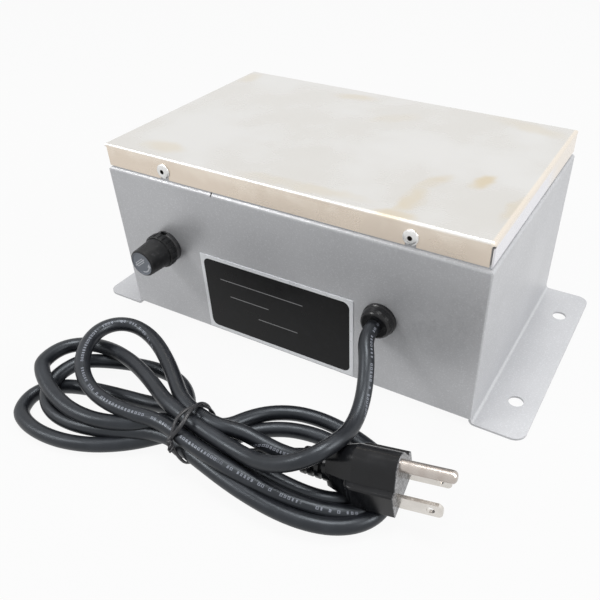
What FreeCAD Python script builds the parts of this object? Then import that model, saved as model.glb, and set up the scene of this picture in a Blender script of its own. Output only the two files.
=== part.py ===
import FreeCAD
import Part
import math
import os
from FreeCAD import Vector

# Mains plate demagnetizer for a bench top, in millimetres.
# Origin: centre of the four mounting holes, on the surface that the unit stands on.
# +X runs along the long front wall, -Y is the side with fuse and cord, +Z is up.

# Overall sizes
cover_length = 180.0
cover_depth = 114.0
overall_height = 87.5
end_step = 0.8
side_step = 0.0

# Cover: non-magnetic stainless tray with open corner seams
cover_sheet = 0.8
cover_bend = 1.3
skirt_height = 10.0
seam_width = 0.4
seam_hole = 1.8
rivet_slot = 4.6
cover_fit = 0.15

# Body: folded steel sheet, rim set back so that the skirt lies about flush
body_sheet = 1.0
wall_gap = 1.5
wall_bottom = 2.8
rim_gap = 0.2
joggle_outer = 1.6
joggle_inner = 0.6
corner_radius = 0.8
corner_notch = 1.9
bend_slit = 0.5
bend_slit_x = -33.2

# Mounting feet: the end walls bent outward
foot_reach = 22.7
foot_bend = 1.5
foot_corner = 5.5
foot_hole = 6.6
foot_hole_inset = 9.9
foot_hole_spacing = 70.4

# Cover rivets
rivet_left_x = -57.3
rivet_right_x = 58.7
rivet_rise = 3.8
rivet_head = 6.6
rivet_head_height = 1.1
rivet_shank = 3.2
rivet_bore = 1.9
rivet_blind = 4.8
rivet_blind_length = 3.2
rivet_fit = 0.05

# Nameplate
plate_width = 79.2
plate_height = 41.2
plate_sheet = 0.3
plate_x = -4.6
plate_z = 3.5

# Base plate
base_sheet = 1.2
base_z = 3.6
base_bend = 1.6
base_flange = 10.0
base_fit = 0.4

# Laminated core, U shaped, poles up
lamination = 1.0
lamination_count = 50
pole_pitch = 66.0
leg_width = 24.0
yoke_height = 24.0
pole_gap = 0.3

# Coil former and winding on each leg
former_wall = 1.2
former_flange = 1.5
former_fit = 0.3
winding_build = 7.6
winding_fit = 0.05
tape_build = 0.4
flange_margin = 0.6
former_top_gap = 2.2

# Core clamps
clamp_end = 5.5
clamp_sheet = 2.0
clamp_bend = 3.0
clamp_foot = 17.0
clamp_drop = 0.5
clamp_bolt = 5.0
clamp_bolt_gap = 5.5
clamp_bolt_rise = 12.0
base_bolt_inset = 11.0
base_bolt_out = 10.0
bolt_hole_fit = 0.3
hex_flats = 8.0
hex_height = 3.6
pan_head = 9.0
pan_height = 2.4
thread_past_nut = 1.2
thread_fit = 0.05

# Fuse holder and 6.3 x 32 fuse
fuse_x = -63.0
fuse_z = 43.0
holder_flange = 15.0
holder_flange_thick = 2.6
holder_tube = 12.2
holder_bore = 9.6
holder_contact = 1.2
holder_end_wall = 2.0
holder_nut_flats = 17.0
holder_nut_thick = 4.0
holder_hole_fit = 0.1
holder_notch = 3.4
holder_stem = 1.2
side_contact = 12.0
cap_skirt = 16.0
cap_skirt_end = 7.0
cap_groove = 1.0
cap_grooves = 20
cap_root = 14.0
cap_tip = 12.8
cap_reach = 18.2
cap_gap = 0.3
cap_sleeve_length = 8.0
cap_sleeve_fit = 0.08
cap_bore_fit = 0.08
cap_end_wall = 1.8
cap_edge = 0.8
fuse_diameter = 6.35
fuse_length = 31.8
fuse_cap_length = 6.4
fuse_glass = 5.9
fuse_glass_wall = 0.8
fuse_cup_wall = 0.3
fuse_link = 0.4
spring_wire = 0.5
spring_diameter = 4.6
spring_turns = 3.5
spring_length = 3.2
spring_fit = 0.1
terminal_sheet = 0.8
terminal_width = 4.8
terminal_reach = 8.0
side_terminal_out = 2.6

# Cord bushing
bushing_x = 47.3
bushing_z = 40.0
bushing_flange = 15.0
bushing_flange_thick = 1.6
bushing_nose = 14.0
bushing_reach = 5.6
bushing_neck = 11.0
bushing_barb = 12.6
bushing_tail = 5.0
bushing_hole_fit = 0.1
cord_diameter = 6.3
cord_bore_fit = 0.05
tail_length = 7.0

# Inner wiring
wire_diameter = 2.0
conductor_spread = 1.25
lug_hole = 4.3
lug_outer = 8.0
lug_sheet = 0.8
lug_barrel = 3.2
lug_barrel_length = 6.0
earth_bolt = 4.0
earth_x = 72.0
earth_y = -30.0
earth_flats = 7.0
earth_nut_height = 3.2
earth_head = 7.6

# Plug: its face centre is midway between the blades
plug_face = Vector(84.0, -109.8, 13.6)
plug_yaw = 7.5
plug_pitch = 5.5
plug_roll = 4.3
plug_width = 21.8
plug_low = 4.6
plug_shoulder = 7.0
plug_ledge = 2.6
plug_high = 15.4
plug_crown = 6.2
plug_edge = 0.8
plug_skirt = 19.3
plug_skirt_corner = 4.0
plug_straight = 16.5
plug_length = 27.5
plug_core = 2.4
plug_rear = 11.4
plug_belly = 0.01
blade_pitch = 12.7
blade_width = 6.3
blade_thick = 1.5
blade_length = 16.4
blade_hole = 3.1
blade_hole_inset = 4.4
blade_root = 6.0
pin_offset = 11.9
pin_diameter = 4.8
pin_length = 20.0
pin_nose = 1.6
relief_start = 12.2
relief_end = 10.2
relief_length = 12.0
relief_rings = 3
relief_groove = 1.6
relief_depth = 0.9
relief_root = 1.0

# Cord routes, chosen by eye: the lead from bushing to hank, and the run from hank to plug
lead_route = [
    (47.3, -62.6, 40.0),
    (47.3, -70.0, 40.0),
    (53.0, -79.0, 36.2),
    (57.5, -90.0, 28.4),
    (59.8, -102.6, 25.0),
    (59.4, -115.8, 28.6),
    (53.6, -126.0, 27.2),
    (41.5, -129.0, 20.4),
    (26.5, -126.8, 15.0),
    (9.6, -123.4, 12.8),
]
plug_run_route = [
    (9.6, -118.6, 17.6),
    (19.5, -118.0, 16.9),
    (29.0, -116.9, 13.6),
]
plug_run_last = 7.5

# Hank: two fans of flat loops that meet in a tied waist
tie_point = Vector(-3.4, -121.8, 11.9)
hank_waist = 20.0
hank_waist_length = 26.0
hank_neck = 9.0
# angle in plan, reach from the tie, width, underside, top
hank_loops = [
    (199.0, 84.0, 31.0, 0.2, 6.4),
    (182.0, 82.0, 40.0, 8.0, 19.0),
    (176.0, 76.0, 38.0, 3.0, 12.8),
    (166.0, 72.0, 32.0, 13.0, 25.4),
    (7.0, 88.0, 50.0, 0.0, 6.3),
]
tie_wire = 1.6
tie_fit = 0.05
tie_pitch = 2.2
tie_tail = 9.0

parts = {}

body_length = cover_length + 2 * end_step
body_depth = cover_depth + 2 * side_step
skirt_bottom = overall_height - skirt_height
wall_top = skirt_bottom - wall_gap
rivet_z = skirt_bottom + rivet_rise
cover_under = overall_height - cover_sheet
front = -body_depth / 2
rim_top = cover_under - rim_gap
base_top = base_z + base_sheet
stack_depth = lamination * lamination_count
yoke_top = base_top + yoke_height
pole_x = pole_pitch / 2
clamp_bolt_x = pole_x + leg_width / 2 + clamp_bolt_gap
clamp_length = 2 * (clamp_bolt_x + clamp_end)
base_bolt_x = clamp_length / 2 - base_bolt_inset
sleeve_x = leg_width + 2 * (former_fit + former_wall)
sleeve_y = stack_depth + 2 * (former_fit + former_wall)
coil_build = 2 * winding_fit + winding_build + tape_build
flange_build = coil_build + flange_margin
coil_low = yoke_top + former_fit + former_flange + winding_fit
coil_high = cover_under - former_top_gap - former_flange - winding_fit
foot_hole_x = body_length / 2 + foot_reach - foot_hole_inset
rivet_xs = (rivet_left_x, rivet_right_x)
base_bolt_y = stack_depth / 2 + base_bolt_out
base_bolt_places = [(x, y) for x in (-base_bolt_x, base_bolt_x) for y in (-base_bolt_y, base_bolt_y)]
outward = Vector(0, -1, 0)
fuse_axis = Vector(fuse_x, front, fuse_z)
bushing_axis = Vector(bushing_x, front, bushing_z)
fuse_front = cap_reach - cap_end_wall - spring_length
fuse_rear = fuse_front - fuse_length
holder_end = fuse_rear - holder_contact - holder_end_wall
lug_axis_z = base_top + lug_barrel / 2


def box(x0, x1, y0, y1, z0, z1):
    return Part.makeBox(x1 - x0, y1 - y0, z1 - z0, Vector(x0, y0, z0))


def rod(radius, length, start, direction):
    return Part.makeCylinder(radius, length, start, direction)


def group(shapes):
    return Part.makeCompound(shapes)


def outline(points):
    """Closed wire: a point is a corner, and a pair (through, end) is an arc."""
    edges = []
    here = points[0]
    for step in points[1:] + [points[0]]:
        if isinstance(step, tuple):
            edges.append(Part.Arc(here, step[0], step[1]).toShape())
            here = step[1]
        elif here.distanceToPoint(step) > 1e-6:
            edges.append(Part.LineSegment(here, step).toShape())
            here = step
    return Part.Wire(edges)


def prism(points, travel):
    return Part.Face(outline(points)).extrude(travel)


def rounded_slab(width, depth, radius, z0, z1, x=0.0, y=0.0):
    slab = box(x - width / 2, x + width / 2, y - depth / 2, y + depth / 2, z0, z1)
    upright = [e for e in slab.Edges if abs(e.Vertexes[0].Z - e.Vertexes[1].Z) > 1e-6]
    return slab.makeFillet(radius, upright)


def turned(profile, start, axis):
    """Solid turned about an axis from (distance along it, radius) pairs."""
    side = Vector(0, 0, 1) if abs(axis.z) < 0.9 else Vector(1, 0, 0)
    side = (side - axis * side.dot(axis)).normalize()
    corners = [start + axis * along + side * radius for along, radius in profile]
    face = Part.Face(Part.makePolygon(corners + [corners[0]]))
    return face.revolve(start, axis, 360)


def hexagon(flats, height, start, direction, bore=0.0):
    radius = flats / math.sqrt(3)
    corners = []
    for k in range(7):
        turn = math.radians(60 * k)
        corners.append(Vector(radius * math.cos(turn), radius * math.sin(turn), 0))
    nut = Part.Face(Part.makePolygon(corners)).extrude(Vector(0, 0, height))
    if bore:
        nut = nut.cut(rod(bore / 2, height, Vector(0, 0, 0), Vector(0, 0, 1)))
    nut.Placement = FreeCAD.Placement(start, FreeCAD.Rotation(Vector(0, 0, 1), direction))
    return nut


def route_wire(points, share=0.45):
    """Straight runs joined by tangent arcs, each as large as its two runs allow."""
    edges = []
    radii = []
    here = points[0]
    for before, corner, after in zip(points, points[1:], points[2:]):
        into = (corner - before).normalize()
        away = (after - corner).normalize()
        reach = share * min(before.distanceToPoint(corner), corner.distanceToPoint(after))
        half_turn = into.getAngle(away) / 2
        radii.append(reach / math.tan(half_turn))
        arc_start = corner - into * reach
        arc_end = corner + away * reach
        bisector = (away - into).normalize()
        middle = corner + bisector * (radii[-1] * (1 / math.cos(half_turn) - 1))
        edges.append(Part.LineSegment(here, arc_start).toShape())
        edges.append(Part.Arc(arc_start, middle, arc_end).toShape())
        here = arc_end
    edges.append(Part.LineSegment(here, points[-1]).toShape())
    return Part.Wire(edges), radii


def tube(points, diameter, name):
    points = [Vector(*p) for p in points]
    path, radii = route_wire(points)
    heading = (points[1] - points[0]).normalize()
    ring = Part.Wire(Part.makeCircle(diameter / 2, points[0], heading))
    solid = path.makePipeShell([ring], True, False)
    expected = math.pi * diameter ** 2 / 4 * path.Length
    print(name, "length %.1f" % path.Length, "radii", ["%.0f" % r for r in radii],
          "volume ratio %.4f" % (solid.Volume / expected))
    return solid


def wall_bends(out, face, rim_offset, start):
    """Places beside a wall's face, with its outer and inner lines through the S bend."""
    up = Vector(0, 0, 1)

    def at(away, height):
        return out * (face + away) + up * height + start

    bend_sum = joggle_outer + joggle_inner
    turn = math.acos(1 - rim_offset / bend_sum)
    high = wall_top + joggle_inner * math.sin(turn)
    base = high - bend_sum * math.sin(turn)

    def low_arc(radius, angle):
        return at(-joggle_outer + radius * math.cos(angle), base + radius * math.sin(angle))

    def high_arc(radius, angle):
        return at(-rim_offset + joggle_inner - radius * math.cos(angle), high - radius * math.sin(angle))

    thin = joggle_outer - body_sheet
    thick = joggle_inner + body_sheet
    outer = [
        at(0, base),
        (low_arc(joggle_outer, turn / 2), low_arc(joggle_outer, turn)),
        (high_arc(joggle_inner, turn / 2), high_arc(joggle_inner, 0)),
        at(-rim_offset, rim_top),
    ]
    inner = [
        at(-rim_offset - body_sheet, rim_top),
        at(-rim_offset - body_sheet, high),
        (high_arc(thick, turn / 2), high_arc(thick, turn)),
        (low_arc(thin, turn / 2), low_arc(thin, 0)),
    ]
    return at, outer, inner


def joggled_wall(out, face, rim_offset, low, foot, start, travel):
    """Wall with its rim set back through an S bend, and an optional foot bent outward."""
    at, outer, inner = wall_bends(out, face, rim_offset, start)
    sheet = body_sheet
    profile = [at(0, low)] + outer + inner + [at(-sheet, low)]
    if foot:
        round_out = foot_bend + sheet
        slant = math.sqrt(0.5)
        profile += [
            (at(foot_bend - round_out * slant, round_out - round_out * slant), at(foot_bend, 0)),
            at(foot_reach, 0),
            at(foot_reach, sheet),
            at(foot_bend, sheet),
            (at(foot_bend - foot_bend * slant, round_out - foot_bend * slant), at(0, round_out)),
        ]
    return prism(profile, travel)


def wall_outside(out, face, rim_offset, start, travel):
    """What is in front of a wall from its S bend up, which mitres its neighbour's end."""
    at, outer, inner = wall_bends(out, face, rim_offset, start)
    return prism(outer + [at(1, rim_top), at(1, outer[0].z)], travel)


def corner_trim(x, y, radius, low, high):
    """What is outside a rounded vertical corner at (x, y)."""
    side_x = math.copysign(1, x)
    side_y = math.copysign(1, y)
    centre_x = x - side_x * radius
    centre_y = y - side_y * radius
    block = box(min(x, centre_x), max(x, centre_x), min(y, centre_y), max(y, centre_y), low, high)
    return block.cut(rod(radius, high - low, Vector(centre_x, centre_y, low), Vector(0, 0, 1)))


def make_body_shell():
    half_x = body_length / 2
    half_y = body_depth / 2
    front_offset = half_y - cover_depth / 2 + cover_sheet + cover_fit
    end_offset = half_x - cover_length / 2 + cover_sheet + cover_fit
    walls = []
    for side in (-1, 1):
        walls.append(joggled_wall(Vector(0, side, 0), half_y, front_offset, wall_bottom, False,
                                  Vector(-half_x, 0, 0), Vector(body_length, 0, 0)))
        walls.append(joggled_wall(Vector(side, 0, 0), half_x, end_offset, foot_bend + body_sheet, True,
                                  Vector(0, -half_y, 0), Vector(0, body_depth, 0)))
    shell = walls[0].multiFuse(walls[1:])
    shoulder_base = wall_top - joggle_outer
    overlap_x = end_offset + body_sheet + 1
    overlap_y = front_offset + body_sheet + 1
    tools = []
    for sx in (-1, 1):
        for sy in (-1, 1):
            x = sx * half_x
            y = sy * half_y
            low_x = min(x - sx * overlap_x, x + sx)
            low_y = min(y - sy * overlap_y, y + sy)
            tools.append(wall_outside(Vector(0, sy, 0), half_y, front_offset,
                                      Vector(low_x, 0, 0), Vector(overlap_x + 1, 0, 0)))
            tools.append(wall_outside(Vector(sx, 0, 0), half_x, end_offset,
                                      Vector(0, low_y, 0), Vector(0, overlap_y + 1, 0)))
            tools.append(box(min(x - sx * corner_notch, x + sx), max(x - sx * corner_notch, x + sx),
                             min(y - sy * corner_notch, y + sy), max(y - sy * corner_notch, y + sy),
                             wall_top, overall_height))
            tools.append(corner_trim(x, y, corner_radius, wall_bottom, wall_top))
            foot_x = sx * (half_x + foot_reach)
            tools.append(corner_trim(foot_x, y, foot_corner, -1, body_sheet + 1))
            hole = Vector(sx * foot_hole_x, sy * foot_hole_spacing / 2, -1)
            tools.append(rod(foot_hole / 2, body_sheet + 2, hole, Vector(0, 0, 1)))
        for x in rivet_xs:
            tools.append(rod(rivet_shank / 2 + rivet_fit, front_offset + body_sheet + 1,
                             Vector(x, sx * (half_y + 0.5), rivet_z), Vector(0, -sx, 0)))
    tools.append(box(bend_slit_x - bend_slit / 2, bend_slit_x + bend_slit / 2, -half_y - 1,
                     -half_y + front_offset + body_sheet + 1, shoulder_base + bend_slit, skirt_bottom + 1))
    inward = Vector(0, 1, 0)
    tools.append(rod(holder_tube / 2 + holder_hole_fit, body_sheet + 2, Vector(fuse_x, front - 1, fuse_z), inward))
    tools.append(rod(bushing_neck / 2 + bushing_hole_fit, body_sheet + 2,
                     Vector(bushing_x, front - 1, bushing_z), inward))
    return shell.cut(tools).removeSplitter()


def make_cover():
    half_x = cover_length / 2
    half_y = cover_depth / 2
    tray = box(-half_x, half_x, -half_y, half_y, skirt_bottom, overall_height)
    tray = tray.makeFillet(cover_bend, [e for e in tray.Edges if e.BoundBox.ZMin > overall_height - 0.01])
    inner = box(-half_x + cover_sheet, half_x - cover_sheet, -half_y + cover_sheet, half_y - cover_sheet,
                skirt_bottom - 1, cover_under)
    inner = inner.makeFillet(cover_bend - cover_sheet, [e for e in inner.Edges if e.BoundBox.ZMin > cover_under - 0.01])
    tools = [inner]
    seam = cover_sheet + seam_width
    seam_top = overall_height - cover_bend
    for sx in (-1, 1):
        for sy in (-1, 1):
            corner = Vector(sx * half_x, sy * half_y, skirt_bottom - 1)
            low_x = min(corner.x, corner.x - sx * seam)
            low_y = min(corner.y, corner.y - sy * seam)
            tools.append(box(low_x, low_x + seam, low_y, low_y + seam, corner.z, seam_top - seam_hole / 2))
            tools.append(rod(seam_hole / 2, 2 * seam, Vector(corner.x, corner.y, seam_top - seam_hole / 2),
                             Vector(-sx, -sy, 0)))
        for x in rivet_xs:
            edge = sx * half_y
            low_y = min(edge, edge - sx * cover_sheet)
            tools.append(box(x - rivet_slot / 2, x + rivet_slot / 2, low_y - 0.1, low_y + cover_sheet + 0.1,
                             skirt_bottom - 1, rivet_z))
            tools.append(rod(rivet_slot / 2, cover_sheet + 0.2, Vector(x, low_y - 0.1, rivet_z), Vector(0, 1, 0)))
    return tray.cut(tools)


def make_cover_rivets():
    grip = cover_sheet + cover_fit + body_sheet
    head = rivet_head / 2
    dome = []
    for k in range(5):
        turn = math.radians(22.5 * k)
        dome.append((0.25 + (rivet_head_height - 0.25) * math.sin(turn),
                     rivet_bore / 2 + 0.25 + (head - rivet_bore / 2 - 0.25) * math.cos(turn)))
    profile = [(-grip - rivet_blind_length, 0), (-grip - rivet_blind_length, rivet_blind * 0.3),
               (-grip - rivet_blind_length * 0.8, rivet_blind * 0.46), (-grip - rivet_blind_length * 0.3, rivet_blind / 2),
               (-grip, rivet_blind * 0.46), (-grip, rivet_shank / 2), (0, rivet_shank / 2), (0, head)]
    profile += dome + [(rivet_head_height, rivet_bore / 2), (-cover_sheet, rivet_bore / 2), (-cover_sheet, 0)]
    rivets = []
    for side in (-1, 1):
        for x in rivet_xs:
            rivets.append(turned(profile, Vector(x, side * cover_depth / 2, rivet_z), Vector(0, side, 0)))
    return group(rivets)


def make_base_plate():
    reach = body_depth / 2 - body_sheet
    thin = base_bend - base_sheet
    slant = math.sqrt(0.5)
    length = body_length / 2 - body_sheet - base_fit

    def at(y, z):
        return Vector(-length, y, base_z + z)

    profile = [
        at(-reach, base_flange),
        at(-reach, base_bend),
        (at(-reach + base_bend * (1 - slant), base_bend * (1 - slant)), at(-reach + base_bend, 0)),
        at(reach - base_bend, 0),
        (at(reach - base_bend * (1 - slant), base_bend * (1 - slant)), at(reach, base_bend)),
        at(reach, base_flange),
        at(reach - base_sheet, base_flange),
        at(reach - base_sheet, base_bend),
        (at(reach - base_bend + thin * slant, base_bend - thin * slant), at(reach - base_bend, base_sheet)),
        at(-reach + base_bend, base_sheet),
        (at(-reach + base_bend - thin * slant, base_bend - thin * slant), at(-reach + base_sheet, base_bend)),
        at(-reach + base_sheet, base_flange),
    ]
    plate = prism(profile, Vector(2 * length, 0, 0))
    holes = [rod((clamp_bolt + bolt_hole_fit) / 2, base_sheet + 2, Vector(x, y, base_z - 1), Vector(0, 0, 1))
             for x, y in base_bolt_places]
    holes.append(rod((earth_bolt + bolt_hole_fit) / 2, base_sheet + 2, Vector(earth_x, earth_y, base_z - 1),
                     Vector(0, 0, 1)))
    return plate.cut(holes)


def make_laminations():
    outer = pole_x + leg_width / 2
    inner = pole_x - leg_width / 2
    pole_top = cover_under - pole_gap
    sheets = []
    for k in range(lamination_count):
        y = -stack_depth / 2 + k * lamination
        corners = [(-outer, base_top), (outer, base_top), (outer, pole_top), (inner, pole_top),
                   (inner, yoke_top), (-inner, yoke_top), (-inner, pole_top), (-outer, pole_top)]
        sheets.append(prism([Vector(x, y, z) for x, z in corners], Vector(0, lamination, 0)))
    return group(sheets)


def make_former(x):
    hole_x = leg_width + 2 * former_fit
    hole_y = stack_depth + 2 * former_fit
    low = yoke_top + former_fit
    high = cover_under - former_top_gap
    sleeve = rounded_slab(sleeve_x, sleeve_y, former_wall, low, high, x)
    flange_x = sleeve_x + 2 * flange_build
    flange_y = sleeve_y + 2 * flange_build
    flanges = [rounded_slab(flange_x, flange_y, flange_build, z, z + former_flange, x)
               for z in (low, high - former_flange)]
    hole = box(x - hole_x / 2, x + hole_x / 2, -hole_y / 2, hole_y / 2, low - 1, high + 1)
    return sleeve.multiFuse(flanges).cut(hole).removeSplitter()


def make_ring(x, inner_build, outer_build, low, high):
    outer = rounded_slab(sleeve_x + 2 * outer_build, sleeve_y + 2 * outer_build, former_wall + outer_build,
                         low, high, x)
    inner = rounded_slab(sleeve_x + 2 * inner_build, sleeve_y + 2 * inner_build, former_wall + inner_build,
                         low - 1, high + 1, x)
    return outer.cut(inner)


def make_core_clamp(side):
    out = Vector(0, side, 0)
    up = Vector(0, 0, 1)
    face = stack_depth / 2
    thin = clamp_bend - clamp_sheet
    slant = math.sqrt(0.5)
    top = yoke_height - clamp_drop

    def at(away, height):
        return Vector(-clamp_length / 2, 0, base_top) + out * (face + away) + up * height

    profile = [
        at(0, top),
        at(0, clamp_bend),
        (at(clamp_bend * (1 - slant), clamp_bend * (1 - slant)), at(clamp_bend, 0)),
        at(clamp_foot, 0),
        at(clamp_foot, clamp_sheet),
        at(clamp_bend, clamp_sheet),
        (at(clamp_bend - thin * slant, clamp_bend - thin * slant), at(clamp_sheet, clamp_bend)),
        at(clamp_sheet, top),
    ]
    bracket = prism(profile, Vector(clamp_length, 0, 0))
    hole = (clamp_bolt + bolt_hole_fit) / 2
    tools = [rod(hole, clamp_sheet + 2, Vector(x, side * (face - 1), base_top + clamp_bolt_rise), out)
             for x in (-clamp_bolt_x, clamp_bolt_x)]
    tools += [rod(hole, clamp_sheet + 2, Vector(x, y, base_top - 1), up)
              for x, y in base_bolt_places if y * side > 0]
    return bracket.cut(tools)


def make_core_bolts():
    outer = stack_depth / 2 + clamp_sheet
    height = base_top + clamp_bolt_rise
    bolts = []
    for x in (-clamp_bolt_x, clamp_bolt_x):
        head = hexagon(hex_flats, hex_height, Vector(x, -outer, height), Vector(0, -1, 0))
        shank = rod(clamp_bolt / 2, 2 * outer + hex_height + thread_past_nut, Vector(x, -outer, height),
                    Vector(0, 1, 0))
        bolts.append(head.fuse(shank))
    return group(bolts)


def make_core_nuts():
    outer = stack_depth / 2 + clamp_sheet
    return group([hexagon(hex_flats, hex_height, Vector(x, outer, base_top + clamp_bolt_rise), Vector(0, 1, 0),
                          clamp_bolt + thread_fit) for x in (-clamp_bolt_x, clamp_bolt_x)])


def pan_bolt(diameter, head, start, length):
    """Pan head under the base plate and a plain shank upward."""
    radius = head / 2
    profile = [(-pan_height, 0), (-pan_height, radius * 0.62), (-pan_height * 0.7, radius * 0.86),
               (-pan_height * 0.35, radius * 0.97), (0, radius), (0, diameter / 2), (length, diameter / 2), (length, 0)]
    return turned(profile, start, Vector(0, 0, 1))


def make_base_bolts():
    length = base_sheet + clamp_sheet + hex_height + thread_past_nut
    return group([pan_bolt(clamp_bolt, pan_head, Vector(x, y, base_z), length) for x, y in base_bolt_places])


def make_base_nuts():
    return group([hexagon(hex_flats, hex_height, Vector(x, y, base_top + clamp_sheet), Vector(0, 0, 1),
                          clamp_bolt + thread_fit) for x, y in base_bolt_places])


def make_fuse_holder():
    radius = holder_flange / 2
    bore = holder_bore / 2
    profile = [
        (holder_flange_thick, bore),
        (holder_flange_thick, radius - 0.9),
        (holder_flange_thick - 0.3, radius - 0.35),
        (holder_flange_thick - 0.9, radius),
        (0, radius),
        (0, holder_tube / 2),
        (holder_end, holder_tube / 2),
        (holder_end, holder_stem + holder_hole_fit),
        (holder_end + holder_end_wall, holder_stem + holder_hole_fit),
        (holder_end + holder_end_wall, bore),
    ]
    holder = turned(profile, fuse_axis, outward)
    notch = box(fuse_x - holder_notch / 2, fuse_x + holder_notch / 2, front - holder_flange_thick - 1,
                front - holder_flange_thick + 1.8, fuse_z + radius - 1.7, fuse_z + radius + 1)
    slot = box(fuse_x - holder_tube, fuse_x - bore + 0.2, front + side_contact, front + side_contact + terminal_sheet,
               fuse_z - terminal_width / 2, fuse_z + terminal_width / 2)
    return holder.cut([notch, slot])


def make_fuse_holder_nut():
    return hexagon(holder_nut_flats, holder_nut_thick, fuse_axis - outward * body_sheet, -outward,
                   holder_tube + 2 * holder_hole_fit)


def make_end_terminal():
    contact = turned([(fuse_rear, 0), (fuse_rear, 2.6), (fuse_rear - holder_contact, 2.6),
                      (fuse_rear - holder_contact, holder_stem), (holder_end - 1.0, holder_stem),
                      (holder_end - 1.0, 0)], fuse_axis, outward)
    y = front - holder_end
    blade = box(fuse_x - terminal_width / 2, fuse_x + terminal_width / 2, y, y + terminal_reach,
                fuse_z - terminal_sheet / 2, fuse_z + terminal_sheet / 2)
    return contact.fuse(blade)


def make_side_terminal():
    near = holder_bore / 2 + 0.2
    far = holder_tube / 2 + side_terminal_out
    y = front + side_contact
    low = fuse_z - terminal_width / 2
    bend = terminal_sheet
    slant = math.sqrt(0.5)

    def at(away, depth):
        return Vector(fuse_x - away, y + depth, low)

    profile = [
        at(near, 0),
        at(far - bend, 0),
        (at(far - bend + bend * slant, bend - bend * slant), at(far, bend)),
        at(far, terminal_reach),
        at(far - terminal_sheet, terminal_reach),
        at(far - terminal_sheet, terminal_sheet),
        at(near, terminal_sheet),
    ]
    return prism(profile, Vector(0, 0, terminal_width))


def make_fuse_cap():
    sleeve = holder_bore / 2 - cap_sleeve_fit
    bore = fuse_diameter / 2 + cap_bore_fit
    skirt = cap_skirt / 2
    tip = cap_tip / 2
    start = holder_flange_thick + cap_gap
    profile = [
        (start, sleeve),
        (start, skirt - 0.5),
        (start + 0.5, skirt),
        (cap_skirt_end - 0.6, skirt),
        (cap_skirt_end, skirt - 0.6),
        (cap_skirt_end, cap_root / 2),
        (cap_reach - cap_edge, tip),
        (cap_reach - cap_edge * 0.35, tip - cap_edge * 0.35),
        (cap_reach, tip - cap_edge),
        (cap_reach, tip - cap_edge - 0.3),
        (cap_reach - 0.25, tip - cap_edge - 0.55),
        (cap_reach - 0.25, 0),
        (cap_reach - cap_end_wall, 0),
        (cap_reach - cap_end_wall, bore),
        (holder_flange_thick - cap_sleeve_length, bore),
        (holder_flange_thick - cap_sleeve_length, sleeve),
    ]
    grooves = []
    for k in range(cap_grooves):
        turn = 2 * math.pi * (k + 0.5) / cap_grooves
        side = Vector(math.cos(turn), 0, math.sin(turn))
        foot = fuse_axis + side * (skirt + 0.1) + outward * (start - 1)
        grooves.append(rod(cap_groove / 2, cap_skirt_end - start + 2, foot, outward))
    return turned(profile, fuse_axis, outward).cut(grooves)


def make_cap_spring():
    height = spring_length - spring_fit - spring_wire
    radius = (spring_diameter - spring_wire) / 2
    coil = Part.makeHelix(height / spring_turns, height, radius)
    heading = Vector(0, radius, height / spring_turns / (2 * math.pi)).normalize()
    ring = Part.Wire(Part.makeCircle(spring_wire / 2, Vector(radius, 0, 0), heading))
    spring = Part.Wire(coil).makePipeShell([ring], True, True)
    seat = fuse_axis + outward * (fuse_front + spring_fit + spring_wire / 2)
    spring.Placement = FreeCAD.Placement(seat, FreeCAD.Rotation(Vector(0, 0, 1), outward))
    return spring


def make_fuse_tube():
    radius = fuse_glass / 2
    low = fuse_rear + fuse_cup_wall
    high = fuse_front - fuse_cup_wall
    return turned([(low, radius - fuse_glass_wall), (low, radius), (high, radius), (high, radius - fuse_glass_wall)],
                  fuse_axis, outward)


def make_fuse_end_caps():
    outer = fuse_diameter / 2
    inner = fuse_glass / 2 + 0.02
    caps = []
    for end, inward in ((fuse_front, -1), (fuse_rear, 1)):
        profile = [(end, 0), (end, outer), (end + inward * fuse_cap_length, outer),
                   (end + inward * fuse_cap_length, inner), (end + inward * fuse_cup_wall, inner),
                   (end + inward * fuse_cup_wall, 0)]
        caps.append(turned(profile, fuse_axis, outward))
    return group(caps)


def make_bushing():
    flange = bushing_flange / 2
    nose = bushing_nose / 2
    bore = cord_diameter / 2 + cord_bore_fit
    dome = []
    for k in range(7):
        turn = math.radians(15 * k)
        dome.append((bushing_flange_thick + (bushing_reach - bushing_flange_thick) * math.sin(turn),
                     nose - 1.6 + (flange - 0.35 - nose + 1.6) * math.cos(turn)))
    profile = [(0, bushing_neck / 2), (0, flange), (bushing_flange_thick - 0.35, flange)]
    profile += dome
    profile += [(bushing_reach, bore), (-body_sheet - bushing_tail, bore),
                (-body_sheet - bushing_tail, bushing_neck / 2 - 0.6), (-body_sheet - 0.8, bushing_barb / 2),
                (-body_sheet, bushing_barb / 2), (-body_sheet, bushing_neck / 2)]
    return turned(profile, bushing_axis, outward)


def make_plug_frame():
    placing = FreeCAD.Placement(plug_face, FreeCAD.Rotation(plug_yaw, -plug_pitch, 0))
    return placing.multiply(FreeCAD.Placement(Vector(0, 0, 0), FreeCAD.Rotation(Vector(1, 0, 0), plug_roll)))


def plug_section(back, scale):
    """Section of the plug's upper body: upright sides, sloped roof and round crown."""
    half = plug_width / 2 - plug_ledge
    centre_z = plug_high - plug_crown
    lean = math.atan2(plug_shoulder - centre_z, half)
    turn = lean + math.acos(plug_crown / math.hypot(half, plug_shoulder - centre_z))
    tangent_y = plug_crown * math.cos(turn)
    tangent_z = centre_z + plug_crown * math.sin(turn)

    def at(y, z):
        return Vector(-back, y * scale, plug_core + (z - plug_core) * scale)

    return outline([at(-half, -plug_low), at(half, -plug_low), at(half, plug_shoulder), at(tangent_y, tangent_z),
                    (at(0, plug_high), at(-tangent_y, tangent_z)), at(-half, plug_shoulder)])


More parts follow.
